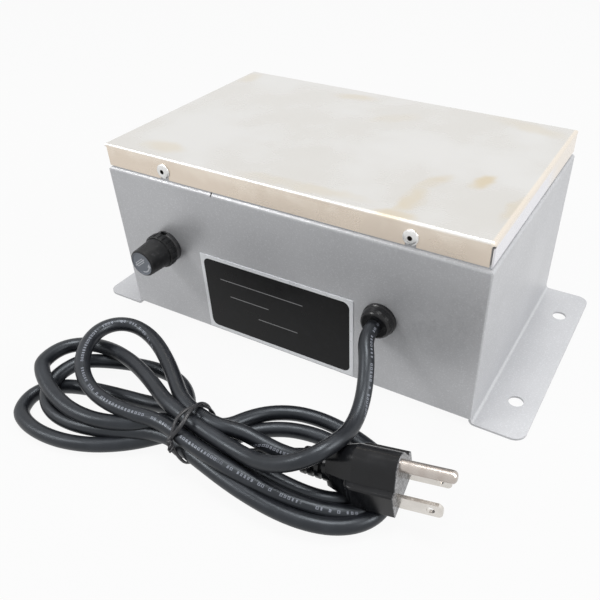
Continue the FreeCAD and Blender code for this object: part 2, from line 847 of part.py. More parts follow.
def make_plug_skirt():
    """Wide lower part of the plug, its rear corners round."""
    half = plug_width / 2
    near = plug_skirt - plug_skirt_corner
    side = half - plug_skirt_corner
    slant = plug_skirt_corner * math.sqrt(0.5)

    def at(back, y):
        return Vector(-back, y, -plug_low)

    skirt = prism([at(0, -half), at(0, half), at(near, half), (at(near + slant, side + slant), at(plug_skirt, side)),
                   at(plug_skirt, -side), (at(near + slant, -side - slant), at(near, -half))],
                  Vector(0, 0, plug_low + plug_shoulder))
    rims = [e for e in skirt.Edges if e.BoundBox.ZLength < 1e-6 and e.BoundBox.XMax < -1e-6 or
            e.BoundBox.XLength > 1 and e.BoundBox.ZLength < 1e-6]
    return skirt.makeFillet(plug_edge, rims)


def make_plug_body():
    """Moulded plug on its frame: face at x = 0, blades centred on z = 0, cord to the rear."""
    rear_scale = plug_rear / (plug_width - 2 * plug_ledge)
    waist = (plug_straight + plug_length) / 2
    straight = Part.makeLoft([plug_section(0, 1.0), plug_section(plug_straight, 1.0)], True, True)
    taper = Part.makeLoft([plug_section(plug_straight, 1.0), plug_section(waist, (1 + rear_scale) / 2 + plug_belly),
                           plug_section(plug_length, rear_scale)], True, False)
    start = Vector(-plug_length, 0, plug_core)
    back = Vector(-1, 0, 0)
    relief = Part.makeCone(relief_start / 2, relief_end / 2, relief_length, start - back * relief_root, back)
    pitch = (relief_length - relief_root - relief_groove) / relief_rings
    for k in range(relief_rings):
        along = (k + 0.5) * pitch
        groove = turned([(along, relief_end / 2 - relief_depth), (along, relief_start),
                         (along + relief_groove, relief_start), (along + relief_groove, relief_end / 2 - relief_depth)],
                        start, back)
        relief = relief.cut(groove)
    body = straight.multiFuse([taper, make_plug_skirt(), relief])
    return body.cut([blade_solid(side, False) for side in (-1, 1)] + [pin_solid()])


def blade_solid(side, holed):
    half_thick = blade_thick / 2
    half_width = blade_width / 2
    y = side * blade_pitch / 2
    nose = blade_width / 2 - 0.6

    def at(x, z):
        return Vector(x, y - half_thick, z)

    profile = [
        at(-blade_root, -half_width),
        at(blade_length - nose * 0.6, -half_width),
        (at(blade_length - nose * 0.15, -half_width + nose * 0.42), at(blade_length, -half_width + nose)),
        at(blade_length, half_width - nose),
        (at(blade_length - nose * 0.15, half_width - nose * 0.42), at(blade_length - nose * 0.6, half_width)),
        at(-blade_root, half_width),
    ]
    blade = prism(profile, Vector(0, 2 * half_thick, 0))
    if holed:
        blade = blade.cut(rod(blade_hole / 2, blade_thick + 2, Vector(blade_length - blade_hole_inset, y - blade_thick, 0),
                              Vector(0, 1, 0)))
    return blade


def pin_solid():
    radius = pin_diameter / 2
    profile = [(-blade_root, 0), (-blade_root, radius), (pin_length - pin_nose, radius)]
    for k in range(1, 4):
        turn = math.radians(26 * k)
        profile.append((pin_length - pin_nose + pin_nose * math.sin(turn), radius - pin_nose * (1 - math.cos(turn))))
    profile.append((pin_length, 0))
    return turned(profile, Vector(0, 0, pin_offset), Vector(1, 0, 0))


def hank_petal(angle, reach, width, low, high):
    """Outer shape of one flat loop, a teardrop in plan that starts at the tie."""
    half = width / 2
    centre = reach - half
    neck = hank_neck / 2
    spin = FreeCAD.Rotation(Vector(0, 0, 1), angle)

    def at(along, across):
        return Vector(tie_point.x, tie_point.y, low) + spin.multVec(Vector(along, across, 0))

    profile = [at(0, -neck), at(centre, -half), (at(reach, 0), at(centre, half)), at(0, neck)]
    return prism(profile, Vector(0, 0, high - low))


def make_hank():
    waist = rod(hank_waist / 2, hank_waist_length, tie_point - Vector(hank_waist_length / 2, 0, 0), Vector(1, 0, 0))
    petals = [hank_petal(*loop) for loop in hank_loops]
    clear = box(tie_point.x - tie_pitch * 2, tie_point.x + tie_pitch * 2, tie_point.y - hank_waist,
                tie_point.y + hank_waist, -1, hank_waist + 10)
    petals = [petal.cut(clear) for petal in petals]
    return waist.multiFuse(petals)


def make_twist_tie():
    radius = hank_waist / 2 + tie_fit + tie_wire / 2
    rings = []
    for side in (-0.5, 0.5):
        centre = tie_point + Vector(side * tie_pitch, 0, 0)
        rings.append(Part.makeTorus(radius, tie_wire / 2, centre, Vector(1, 0, 0)))
    knot = tie_point + Vector(-tie_pitch, -radius * 0.8, radius * 0.6)
    rings.append(rod(tie_wire / 2, 2 * tie_pitch, knot, Vector(1, 0, 0)))
    rings.append(rod(tie_wire * 0.7, tie_tail, knot, Vector(-0.35, -0.2, 0.7)))
    return rings[0].multiFuse(rings[1:])


def make_earth_lug():
    """Crimp lug on the base plate, its barrel toward the front wall."""
    up = Vector(0, 0, 1)
    neck_length = lug_outer / 2 + 2.0
    ring = rod(lug_outer / 2, lug_sheet, Vector(earth_x, earth_y, base_top), up)
    neck = box(earth_x - lug_barrel / 2, earth_x + lug_barrel / 2, earth_y - neck_length, earth_y,
               base_top, base_top + lug_sheet)
    barrel = rod(lug_barrel / 2, lug_barrel_length, Vector(earth_x, earth_y - neck_length, lug_axis_z), outward)
    hole = rod(lug_hole / 2, lug_sheet + 2, Vector(earth_x, earth_y, base_top - 1), up)
    return ring.multiFuse([neck, barrel]).cut(hole).removeSplitter()


def conductor(turn):
    """Where a conductor leaves the cut end of the cord, at an angle round its axis."""
    angle = math.radians(turn)
    return (bushing_x + conductor_spread * math.cos(angle), front + tail_length,
            bushing_z + conductor_spread * math.sin(angle))


def make_wires():
    live = conductor(90)
    neutral = conductor(210)
    earth = conductor(330)
    blade_y = front - holder_end + terminal_reach / 2
    side_x = fuse_x - holder_tube / 2 - side_terminal_out + terminal_sheet / 2
    side_y = front + side_contact + terminal_reach
    coil_front = -sleeve_y / 2 - coil_build
    coil_side = pole_x + sleeve_x / 2 + coil_build
    coil_inner = pole_x - sleeve_x / 2 - coil_build
    lug_mouth = earth_y - lug_outer / 2 - 2.0 - lug_barrel_length
    routes = {
        "live_wire": [live, (live[0], live[1] + 5.0, live[2]), (42.0, -42.5, 52.0), (18.0, -41.5, 59.0),
                      (-20.0, -43.0, 57.0), (-50.0, -42.0, 58.0), (fuse_x, -37.0, 56.0),
                      (fuse_x, blade_y, 51.0), (fuse_x, blade_y, fuse_z + terminal_sheet / 2)],
        "neutral_wire": [neutral, (neutral[0], neutral[1] + 4.0, neutral[2]), (41.0, -43.0, 44.0),
                         (34.0, -41.5, 50.0), (32.0, coil_front - 3.5, 55.0), (32.0, coil_front, 55.0)],
        "earth_wire": [earth, (earth[0], earth[1] + 4.0, earth[2]), (56.0, -44.0, 28.0),
                       (69.0, -48.0, 14.0), (earth_x, -49.0, lug_axis_z), (earth_x, lug_mouth, lug_axis_z)],
        "fuse_wire": [(side_x, side_y, fuse_z), (side_x, side_y + 8.0, fuse_z), (-68.5, -20.0, 48.0),
                      (-62.0, -14.0, 52.0), (-coil_side, -14.0, 52.0)],
        "coil_link": [(-coil_inner, -12.0, 47.0), (-4.0, -12.0, 47.0), (4.0, -12.0, 41.0),
                      (coil_inner, -12.0, 41.0)],
    }
    return {name: tube(points, wire_diameter, name) for name, points in routes.items()}


def plug_run_points(frame):
    """Route of the run from the hank, ending square on the plug's strain relief."""
    back = frame.Rotation.multVec(Vector(-1, 0, 0))
    end = frame.multVec(Vector(-plug_length - relief_length + relief_root, 0, plug_core))
    return plug_run_route + [tuple(end + back * plug_run_last), tuple(end)]


def placed(shape, frame):
    shape = shape.copy()
    shape.Placement = frame.multiply(shape.Placement)
    return shape


parts["body_shell"] = make_body_shell()
parts["cover_plate"] = make_cover()
parts["cover_rivets"] = make_cover_rivets()
parts["nameplate"] = box(plate_x - plate_width / 2, plate_x + plate_width / 2, front - plate_sheet, front,
                         plate_z, plate_z + plate_height)
parts["base_plate"] = make_base_plate()
parts["core_laminations"] = make_laminations()
for name, x in (("left", -pole_x), ("right", pole_x)):
    parts[name + "_former"] = make_former(x)
    parts[name + "_winding"] = make_ring(x, winding_fit, winding_fit + winding_build, coil_low, coil_high)
    parts[name + "_tape"] = make_ring(x, 2 * winding_fit + winding_build, coil_build, coil_low, coil_high)
parts["front_clamp"] = make_core_clamp(-1)
parts["rear_clamp"] = make_core_clamp(1)
parts["core_bolts"] = make_core_bolts()
parts["core_nuts"] = make_core_nuts()
parts["base_bolts"] = make_base_bolts()
parts["base_nuts"] = make_base_nuts()
parts["fuse_holder"] = make_fuse_holder()
parts["fuse_holder_nut"] = make_fuse_holder_nut()
parts["end_terminal"] = make_end_terminal()
parts["side_terminal"] = make_side_terminal()
parts["fuse_cap"] = make_fuse_cap()
parts["fuse_spring"] = make_cap_spring()
parts["fuse_tube"] = make_fuse_tube()
parts["fuse_end_caps"] = make_fuse_end_caps()
parts["fuse_link"] = rod(fuse_link / 2, fuse_length - 2 * fuse_cup_wall, fuse_axis + outward * (fuse_rear + fuse_cup_wall),
                         outward)
parts["strain_relief"] = make_bushing()
parts["cord_tail"] = rod(cord_diameter / 2, bushing_reach + tail_length, bushing_axis + outward * bushing_reach, -outward)
parts.update(make_wires())
parts["earth_lug"] = make_earth_lug()
parts["earth_screw"] = pan_bolt(earth_bolt, earth_head, Vector(earth_x, earth_y, base_z),
                                base_sheet + lug_sheet + earth_nut_height + thread_past_nut)
parts["earth_nut"] = hexagon(earth_flats, earth_nut_height, Vector(earth_x, earth_y, base_top + lug_sheet),
                             Vector(0, 0, 1), earth_bolt + thread_fit)
plug_frame = make_plug_frame()
parts["plug_body"] = placed(make_plug_body(), plug_frame)
parts["plug_blades"] = placed(group([blade_solid(side, True) for side in (-1, 1)]), plug_frame)
parts["plug_ground_pin"] = placed(pin_solid(), plug_frame)
parts["cord_lead"] = tube(lead_route, cord_diameter, "cord_lead")
parts["cord_plug_run"] = tube(plug_run_points(plug_frame), cord_diameter, "cord_plug_run")
parts["cord_hank"] = make_hank()
parts["twist_tie"] = make_twist_tie()

os.makedirs("parts", exist_ok=True)
for name, shape in parts.items():
    shape.exportStep("parts/" + name + ".step")
    print(name, "solids", len(shape.Solids), "valid", shape.isValid(), "volume %.0f" % shape.Volume)
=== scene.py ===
from math import cos, pi, radians, sin
import bpy
from mathutils import Matrix, Vector


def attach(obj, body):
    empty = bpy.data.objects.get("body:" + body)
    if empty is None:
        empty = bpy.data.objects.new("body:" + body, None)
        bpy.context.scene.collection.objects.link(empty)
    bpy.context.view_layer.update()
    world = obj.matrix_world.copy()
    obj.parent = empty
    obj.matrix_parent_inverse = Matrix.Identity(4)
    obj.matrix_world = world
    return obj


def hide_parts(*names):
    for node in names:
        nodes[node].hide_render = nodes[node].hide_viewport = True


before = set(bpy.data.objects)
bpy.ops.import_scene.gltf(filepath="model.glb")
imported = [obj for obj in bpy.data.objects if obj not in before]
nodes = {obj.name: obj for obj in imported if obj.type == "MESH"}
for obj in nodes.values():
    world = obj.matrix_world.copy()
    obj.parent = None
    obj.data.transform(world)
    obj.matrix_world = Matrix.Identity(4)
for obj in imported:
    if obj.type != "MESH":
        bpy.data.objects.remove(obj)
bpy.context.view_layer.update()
mm = 0.001
print("frame:", len(nodes), "pieces of the plate demagnetizer")


class Wire:  # a socket that can be added, multiplied and compared
    def __init__(self, tree, socket):
        self.tree = tree
        self.socket = socket

    def math(self, operation, *values):
        return self.tree.node("ShaderNodeMath", {"operation": operation}, values)

    def __add__(self, other):
        return self.math("ADD", self, other)

    def __sub__(self, other):
        return self.math("SUBTRACT", self, other)

    def __rsub__(self, other):
        return self.math("SUBTRACT", other, self)

    def __mul__(self, other):
        return self.math("MULTIPLY", self, other)

    def __mod__(self, other):
        return self.math("FLOORED_MODULO", self, other)

    def __abs__(self):
        return self.math("ABSOLUTE", self)

    __radd__ = __add__
    __rmul__ = __mul__


class Tree:  # a node tree, with a method for what recurs
    def __init__(self, nodeTree):
        self.nodeTree = nodeTree

    def node(self, kind, settings=None, inputs=(), output=0):
        made = self.nodeTree.nodes.new(kind)
        for name, value in (settings or {}).items():
            setattr(made, name, value)
        for name, value in inputs.items() if isinstance(inputs, dict) else enumerate(inputs):
            if isinstance(value, Wire):
                self.nodeTree.links.new(value.socket, made.inputs[name])
            else:
                made.inputs[name].default_value = value
        return Wire(self, made.outputs[output])

    def noise(self, place, scale, detail=3.0, rough=0.5):
        return self.node("ShaderNodeTexNoise", None,
                         {"Vector": place, "Scale": scale, "Detail": detail, "Roughness": rough})

    def smooth(self, value, low, high, start=0.0, end=1.0):
        return self.node("ShaderNodeMapRange", {"interpolation_type": "SMOOTHSTEP"},
                         (value, low, high, start, end))

    def blend(self, factor, first, second):
        return self.node("ShaderNodeMix", {"data_type": "RGBA"},
                         {0: factor, 6: colour4(first), 7: colour4(second)}, 2)

    def either(self, first, second):  # their sum, held at one
        return self.node("ShaderNodeMath", {"operation": "ADD", "use_clamp": True},
                         (first, second))

    def most(self, wires):  # the largest of them
        found = wires[0]
        for wire in wires[1:]:
            found = found.math("MAXIMUM", found, wire)
        return found

    def axes(self, place):
        split = self.node("ShaderNodeSeparateXYZ", None, (place,))
        return [Wire(self, out) for out in split.socket.node.outputs]

    def centred(self, place, middle, size, turn=(0.0, 0.0, 0.0)):  # from a middle, in sizes
        return self.node("ShaderNodeMapping", {"vector_type": "TEXTURE"},
                         {"Vector": place, "Location": middle, "Rotation": turn, "Scale": size})

    def distance(self, place):
        return self.node("ShaderNodeVectorMath", {"operation": "LENGTH"}, (place,), "Value")

    def shaken(self, place, size, reach):  # moved about by noise, for outlines that wander
        drift = self.node("ShaderNodeTexNoise", None,
                          {"Vector": place, "Scale": 1 / size}, "Color")
        drift = self.node("ShaderNodeVectorMath", {"operation": "SUBTRACT"},
                          (drift, (0.5, 0.5, 0.5)))
        drift = self.node("ShaderNodeVectorMath", {"operation": "SCALE"},
                          {0: drift, "Scale": reach})
        return self.node("ShaderNodeVectorMath", {"operation": "ADD"}, (place, drift))

    def cells(self, place, size):  # one random number a cell
        cell = self.node("ShaderNodeTexVoronoi", None,
                         {"Vector": place, "Scale": 1 / size}, "Color")
        return self.node("ShaderNodeSeparateColor", None, (cell,))

    def seen(self):  # one for rays that look at the surround, straight or in metal and glass
        path = self.nodeTree.nodes.new("ShaderNodeLightPath")
        rays = [Wire(self, path.outputs[name]) for name in
                ("Is Camera Ray", "Is Glossy Ray", "Is Transmission Ray")]
        return self.either(rays[0] + rays[1], rays[2])

    def millimetres(self, place):
        return [axis * (1 / mm) for axis in self.axes(place)]

    def within(self, x, z, middle, half, corner=0.0, edge=0.08):  # one in a rounded rectangle
        dx = x.math("MAXIMUM", abs(x - middle[0]) - (half[0] - corner), 0.0)
        dz = z.math("MAXIMUM", abs(z - middle[1]) - (half[1] - corner), 0.0)
        away = x.math("SQRT", dx * dx + dz * dz)
        return self.smooth(away, corner + edge, corner - edge if corner else 0.0)


def colour4(value):  # a wire, or a colour with its alpha
    return value if isinstance(value, Wire) else (*value, 1.0)


class Finish(Tree):  # one material with a Principled shader
    def __init__(self, name, **constants):
        self.material = bpy.data.materials.new(name)
        self.material.use_nodes = True
        Tree.__init__(self, self.material.node_tree)
        self.nodeTree.nodes.clear()
        out = self.nodeTree.nodes.new("ShaderNodeOutputMaterial")
        self.shader = self.nodeTree.nodes.new("ShaderNodeBsdfPrincipled")
        self.nodeTree.links.new(self.shader.outputs[0], out.inputs[0])
        self.set(**constants)

    def set(self, **values):
        for name, value in values.items():
            socket = self.shader.inputs[name.replace("_", " ")]
            if isinstance(value, Wire):
                self.nodeTree.links.new(value.socket, socket)
            elif isinstance(value, tuple) and len(value) == 3 and socket.type == "RGBA":
                socket.default_value = (*value, 1.0)
            else:
                socket.default_value = value

    def place(self):
        return self.node("ShaderNodeTexCoord", None, (), "Object")

    def bump(self, height, distance):
        self.set(Normal=self.node("ShaderNodeBump", None,
                                  {"Strength": 1.0, "Distance": distance, "Height": height}))


def linked(name, data):  # a new object in the scene
    made = bpy.data.objects.new(name, data)
    bpy.context.collection.objects.link(made)
    return made


def meshed(source):  # the mesh that an object's curve or modifiers give
    bpy.context.view_layer.update()
    return bpy.data.meshes.new_from_object(
        source.evaluated_get(bpy.context.evaluated_depsgraph_get()))


# the camera of the photograph
view = {
    "place": (0.14101, -0.25269, 0.20476),
    "right": (0.8771, 0.4803, -0.0024),
    "up": (-0.2986, 0.5492, 0.7805),
    "lens": 40.1,
    "shift": (-0.0831, 0.0597),
}
cameraData = bpy.data.cameras.new("camera")
camera = linked("camera", cameraData)
right, up = Vector(view["right"]).normalized(), Vector(view["up"]).normalized()
turned = Matrix((right, up, right.cross(up))).transposed().to_4x4()
camera.matrix_world = Matrix.Translation(view["place"]) @ turned
cameraData.lens = view["lens"]
cameraData.sensor_width = 36.0
cameraData.shift_x, cameraData.shift_y = view["shift"]
cameraData.clip_start = 0.01
bpy.context.scene.camera = camera
bpy.context.scene.view_settings.view_transform = "Standard"
print("camera set")

# the mains cord: out of the bushing, through the tied hank, into the plug
cord = {
    "diameter": 6.3,
    "lead": [(47.3, -62.6, 40.0), (47.3, -70.0, 40.0), (53.0, -79.0, 36.2), (57.5, -90.0, 28.4),
             (59.8, -102.6, 25.0), (59.4, -115.8, 28.6), (53.6, -126.0, 27.2),
             (41.5, -129.0, 20.4), (26.5, -126.8, 15.0)],
    "plugRun": [(19.5, -118.0, 16.9), (29.0, -116.9, 13.6), (38.4, -115.98, 11.57),
                (45.8, -115.01, 12.29)],
    "sides": 20,
}
hank = {
    "tie": (-2.1, -123.2, 11.9),
    "turn": -13.0,
    "strands": 7,
    "firstStrand": -12.0,
    "neck": 9.0,
    "spread": 7.0,
    "pointsPerTurn": 14,
    # slots left and entered, end of the waist, hand, angle, reach, widths of the two halves,
    # skew, lean, quickness, rise, tip
    "turns": [
        (2, 7, -1, -1, 196.5, 67.6, 34.2, 19.6, -17.0, 23.7, 1.0, 11.0, 16.0),
        (7, 6, 1, -1, 6.5, 63.1, 2.5, 6.1, 7.8, -16.9, 0.9, 6.5, 3.3),
        (6, 4, -1, 1, 216.7, 69.4, 10.1, 20.7, -22.1, -4.2, 0.45, 3.3, 3.3),
        (4, 0, 1, 1, 37.8, 69.3, 27.7, 45.2, -20.4, -40.0, 1.0, 3.3, 3.3),
        (0, 5, -1, 1, 155.7, 60.6, 39.9, 26.3, 18.1, -40.0, 0.45, 6.0, 9.6),
        (5, 1, 1, 1, 36.4, 65.9, 17.7, 28.8, -22.9, -20.3, 1.0, 3.6, 3.3),
        (1, 3, -1, 1, 171.5, 59.3, 16.1, 18.2, -12.0, -6.8, 1.0, 19.0, 22.3),
    ],
}


def alongWaist():  # the hank's direction, from its left loops to its right ones
    turn = radians(hank["turn"])
    return Vector((cos(turn), sin(turn), 0.0))


def outward(angle):  # away from the waist's middle line, from the front upwards
    turn = radians(hank["turn"])
    return Vector((sin(turn) * cos(angle), -cos(turn) * cos(angle), sin(angle)))


# a strand's place at one end of the waist: seven stand round an eighth
def strandPlace(slot, end):
    place = Vector(hank["tie"]) + alongWaist() * hank["neck"] * end
    if slot < hank["strands"]:
        step = 360.0 / hank["strands"] * slot
        place += outward(radians(hank["turn"] + hank["firstStrand"] + step)) * hank["spread"]
    return place


# a loop out of one place in the waist and back into another, raised where it crosses others
def hankTurn(first, last, end, hand, angle, reach, early, late, skew, lean, quick, rise, tip):
    start, stop = strandPlace(first, end), strandPlace(last, end)
    out = Vector((cos(radians(angle)), sin(radians(angle)), 0.0))
    side = Vector((-out.y, out.x, 0.0))
    points = []
    for step in range(hank["pointsPerTurn"] + 1):
        t = step / hank["pointsPerTurn"]
        bow = sin(pi * t)
        point = start.lerp(stop, t)
        height = point.z
        width = hand * (early if t < 0.5 else late)
        point += out * reach * bow
        point += side * (width * sin(2 * pi * t) + (skew + lean * cos(pi * t)) * bow ** 2)
        hold = bow ** quick
        point.z = height * (1 - hold) + (rise + (tip - rise) * bow ** 4) * hold
        points.append(point)
    return points


cordPoints = [Vector(p) for p in cord["lead"]]
for turn in hank["turns"]:
    cordPoints += hankTurn(*turn)
cordPoints += [strandPlace(3, 1)] + [Vector(p) for p in cord["plugRun"]]
curveData = bpy.data.curves.new("cordLine", "CURVE")
curveData.dimensions = "3D"
spline = curveData.splines.new("NURBS")
spline.points.add(len(cordPoints) - 1)
for point, place in zip(spline.points, cordPoints):
    point.co = (*(place * mm), 1.0)
spline.order_u = 3
spline.use_endpoint_u = True
spline.resolution_u = 6
curveObject = linked("cordLine", curveData)
cordLine = [vertex.co.copy() for vertex in meshed(curveObject).vertices]
bpy.data.objects.remove(curveObject)


def lineLength(line):
    return sum((b - a).length for a, b in zip(line, line[1:]))


def tubeAlong(name, line, radius, sides, material):  # closed tube with its own UV map
    points, faces, rows = [], [], []
    normal = Vector((0.0, 0.0, 1.0))
    travelled = 0.0
    for i, place in enumerate(line):
        ahead = (line[min(i + 1, len(line) - 1)] - line[max(i - 1, 0)]).normalized()
        normal = (normal - ahead * normal.dot(ahead)).normalized()
        other = ahead.cross(normal)
        if i:
            travelled += (place - line[i - 1]).length
        rows.append(travelled)
        for k in range(sides):
            angle = 2 * pi * k / sides
            points.append(place + (normal * cos(angle) + other * sin(angle)) * radius)
    for i in range(len(line) - 1):
        for k in range(sides):
            a, b = i * sides + k, i * sides + (k + 1) % sides
            faces.append((a, b, b + sides, a + sides))
    for i, order in ((0, -1), (len(line) - 1, 1)):
        ring = [i * sides + k for k in range(sides)]
        faces.append(tuple(ring[::order]))
    mesh = bpy.data.meshes.new(name)
    mesh.from_pydata([tuple(point) for point in points], [], faces)
    mesh.validate()
    mesh.materials.append(material)
    mesh.shade_smooth()
    layer = mesh.uv_layers.new(name="UVMap")
    for face in mesh.polygons:
        places = [divmod(mesh.loops[loop].vertex_index, sides) for loop in face.loop_indices]
        closing = any(k == sides - 1 for row, k in places)
        for loop, (row, k) in zip(face.loop_indices, places):
            around = 1.0 if closing and k == 0 else k / sides
            layer.data[loop].uv = (rows[row], around)
    return linked(name, mesh)


# black rubber, dulled in patches, with a pale print
rubberLook = {
    "dark": (0.0058, 0.0064, 0.0085),
    "light": (0.0115, 0.0125, 0.0155),
    "rough": (0.32, 0.43),
    "scuff": 9.0,
    "grain": 0.5,
    "relief": 0.05,
    "sheen": 0.50,
    "sheenTint": (0.86, 0.93, 1.0),
}
legend = {  # pale printed marks along one side, which turns with the cord
    "glyph": 1.5,
    "height": 0.52,
    "line": 0.18,
    "edge": 0.08,
    "left": 0.38,
    "widths": (0.16, 0.36),
    "gaps": 0.22,
    "strength": 0.8,
    "side": 0.875,
    # from and to along the cord in metres, share of a turn
    "turns": [(0.032, 0.062, -0.375), (1.100, 1.135, 0.40), (1.230, 1.290, 0.14),
              (1.300, 1.345, 0.30), (1.392, 1.402, -0.24)],
    "colour": (0.27, 0.285, 0.33),
}
jacket = Finish("cordJacket", Specular_IOR_Level=rubberLook["sheen"],
                Specular_Tint=rubberLook["sheenTint"])
place = jacket.place()
scuff = jacket.noise(place, 1 / (rubberLook["scuff"] * mm), 4.0, 0.6)
grainy = jacket.noise(place, 1 / (rubberLook["grain"] * mm), 2.0)
along, around = jacket.axes(jacket.node("ShaderNodeUVMap", {"uv_map": "UVMap"}))[:2]
letters = along * (1 / (legend["glyph"] * mm))
count = letters.math("FLOOR", letters)
oneLine = {"noise_dimensions": "1D"}
chance = jacket.node("ShaderNodeTexWhiteNoise", oneLine, {"W": count}, "Value")
shape = jacket.node("ShaderNodeTexWhiteNoise", oneLine, {"W": count + 0.37}, "Value")
side = legend["side"]
for start, end, amount in legend["turns"]:
    side = jacket.smooth(along, start, end) * amount + side
across = abs((around - side + 0.5) % 1.0 - 0.5) * (pi * cord["diameter"])
narrow, wide = legend["widths"]
past = abs(letters % 1.0 - legend["left"]) - (shape * (wide - narrow) + narrow)
top, edge = legend["height"], legend["edge"]
stroke = jacket.smooth(across, top + edge, top - edge) * jacket.smooth(past, 0.05, -0.03)
under = top - legend["line"]
hollow = jacket.smooth(across, under + 0.06, under - 0.06) * jacket.smooth(past, -0.13, -0.20)
shown = jacket.smooth(chance, legend["gaps"] - 0.02, legend["gaps"] + 0.02)
printed = stroke * (1 - hollow) * shown
rubber = jacket.blend(jacket.smooth(scuff, 0.42, 0.72), rubberLook["dark"], rubberLook["light"])
gloss = jacket.smooth(scuff * 0.7 + grainy * 0.3, 0.35, 0.65, *rubberLook["rough"])
jacket.set(Roughness=gloss, Base_Color=jacket.blend(printed * legend["strength"], rubber,
                                                    legend["colour"]))
jacket.bump(scuff * 0.6 + grainy * 0.4, rubberLook["relief"] * mm)

cordTube = tubeAlong("cord", cordLine, cord["diameter"] / 2 * mm, cord["sides"], jacket.material)
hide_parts("cord_lead", "cord_hank", "cord_plug_run")
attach(cordTube, "housing")

# twist tie: a coated wire round the waist twice, its two ends twisted together in front
tie = {
    "radius": 10.75,
    "meet": 22.0,
    "meetAlong": 2.2,
    # middle along the waist, lean with depth and with height, lift, for each of the two wraps
    "wraps": [(1.9, 0.4, -1.7, 0.0), (3.5, -4.4, -0.8, 0.9)],
    "join": 0.14,
    "width": 0.85,
    "flatness": 0.62,
    "stepsPerWrap": 48,
    "stepsPerTail": 16,
    "tailTurns": 1.5,
    "tailLength": 4.6,
    "tailDrop": -62.0,
    "tailLift": 0.9,
    # half of the twisted pair's height and width
    "twist": (0.5, 0.58),
    "meshStep": 0.8,
}


def tiePath():
    along = alongWaist()
    middle = Vector(hank["tie"])
    meet = radians(tie["meet"])

    def onWrap(share, wrap):
        angle = meet + 2 * pi * share
        place, lean, climb, lift = tie["wraps"][wrap]
        shift = place - lean * cos(angle) + climb * sin(angle)
        near = min(share, 1 - share) / tie["join"]
        if near < 1:
            near = near * near * (3 - 2 * near)
            shift = tie["meetAlong"] * (1 - near) + shift * near
            lift *= near
        lift *= (1 + sin(angle)) / 2
        point = middle + outward(angle) * (tie["radius"] + lift) + along * shift
        point.z = max(point.z, tie["width"])
        return point

    def tail(share, phase):  # one of the two twisted ends
        out = outward(meet)
        drop = radians(tie["tailDrop"])
        heading = (along * cos(drop) + out.cross(along) * sin(drop)).normalized()
        angle = 2 * pi * tie["tailTurns"] * share + phase
        high, wide = tie["twist"]
        lift = out * (tie["radius"] + tie["tailLift"] + high * cos(angle))
        place = along * tie["meetAlong"] + heading * (tie["tailLength"] * share)
        return middle + lift + place + heading.cross(out) * (wide * sin(angle))

    steps, tailSteps = tie["stepsPerWrap"], tie["stepsPerTail"]
    path = [tail(1 - k / tailSteps, 0.0) for k in range(tailSteps)]
    path += [onWrap(k / steps, 0) for k in range(1, steps)]
    path += [onWrap(k / steps, 1) for k in range(steps)]
    path += [tail((k + 1) / tailSteps, pi) for k in range(tailSteps)]
    return [point * mm for point in path]


def wrapTree(name):  # geometry nodes: a flat wire swept along a line
    tree = bpy.data.node_groups.new(name, "GeometryNodeTree")
    tree.interface.new_socket("Geometry", in_out="INPUT", socket_type="NodeSocketGeometry")
    for label in ("Width", "Flatness", "Step"):
        tree.interface.new_socket(label, in_out="INPUT", socket_type="NodeSocketFloat")
    tree.interface.new_socket("Finish", in_out="INPUT", socket_type="NodeSocketMaterial")
    tree.interface.new_socket("Geometry", in_out="OUTPUT", socket_type="NodeSocketGeometry")
    nodeMaker = Tree(tree)
    given = tree.nodes.new("NodeGroupInput")
    source = {out.name: Wire(nodeMaker, out) for out in given.outputs if out.name}
    line = nodeMaker.node("GeometryNodeMeshToCurve", None,
                          {"Mesh": source["Geometry"]}, "Curve")
    line = nodeMaker.node("GeometryNodeResampleCurve", {"mode": "LENGTH"},
                          {"Curve": line, "Length": source["Step"]}, "Curve")
    ring = nodeMaker.node("GeometryNodeCurvePrimitiveCircle", None,
                          {"Resolution": 12, "Radius": source["Width"]}, "Curve")
    squeeze = nodeMaker.node("ShaderNodeCombineXYZ", None, (1.0, source["Flatness"], 1.0))
    ring = nodeMaker.node("GeometryNodeTransform", None, {"Geometry": ring, "Scale": squeeze})
    wire = nodeMaker.node("GeometryNodeCurveToMesh", None,
                          {"Curve": line, "Profile Curve": ring, "Fill Caps": True})
    wire = nodeMaker.node("GeometryNodeSetShadeSmooth", None, {"Geometry": wire})
    wire = nodeMaker.node("GeometryNodeRealizeInstances", None, {"Geometry": wire})
    wire = nodeMaker.node("GeometryNodeSetMaterial", None,
                          {"Geometry": wire, "Material": source["Finish"]})
    out = tree.nodes.new("NodeGroupOutput")
    tree.links.new(wire.socket, out.inputs[0])
    return tree


def swept(name, path, material, **inputs):  # a wire along a path, as a mesh of its own
    mesh = bpy.data.meshes.new(name)
    mesh.from_pydata([tuple(p) for p in path], [(k, k + 1) for k in range(len(path) - 1)], [])
    guide = linked(name + "Guide", mesh)
    step = guide.modifiers.new(name, "NODES")
    step.node_group = wrapTree(name)
    inputs["Finish"] = material
    for socket in step.node_group.interface.items_tree:
        if socket.in_out == "INPUT" and socket.name in inputs:
            step[socket.identifier] = inputs[socket.name]
    made = meshed(guide)
    bpy.data.objects.remove(guide)
    made.name = name
    return linked(name, made)


# clouded colour and gloss, with the size of the clouds and the depth of the relief
def mottled(name, dark, light, grain, rough, relief=0.0, **constants):
    made = Finish(name, **constants)
    where = made.place()
    cloud = made.noise(where, 1 / (grain * mm), 4.0)
    fine = made.noise(where, 7 / (grain * mm), 2.0)
    made.set(Base_Color=made.blend(made.smooth(cloud, 0.36, 0.64), dark, light),
             Roughness=made.smooth(fine * 0.6 + cloud * 0.4, 0.36, 0.64, *rough))
    if relief:
        made.bump(fine, relief * mm)
    return made


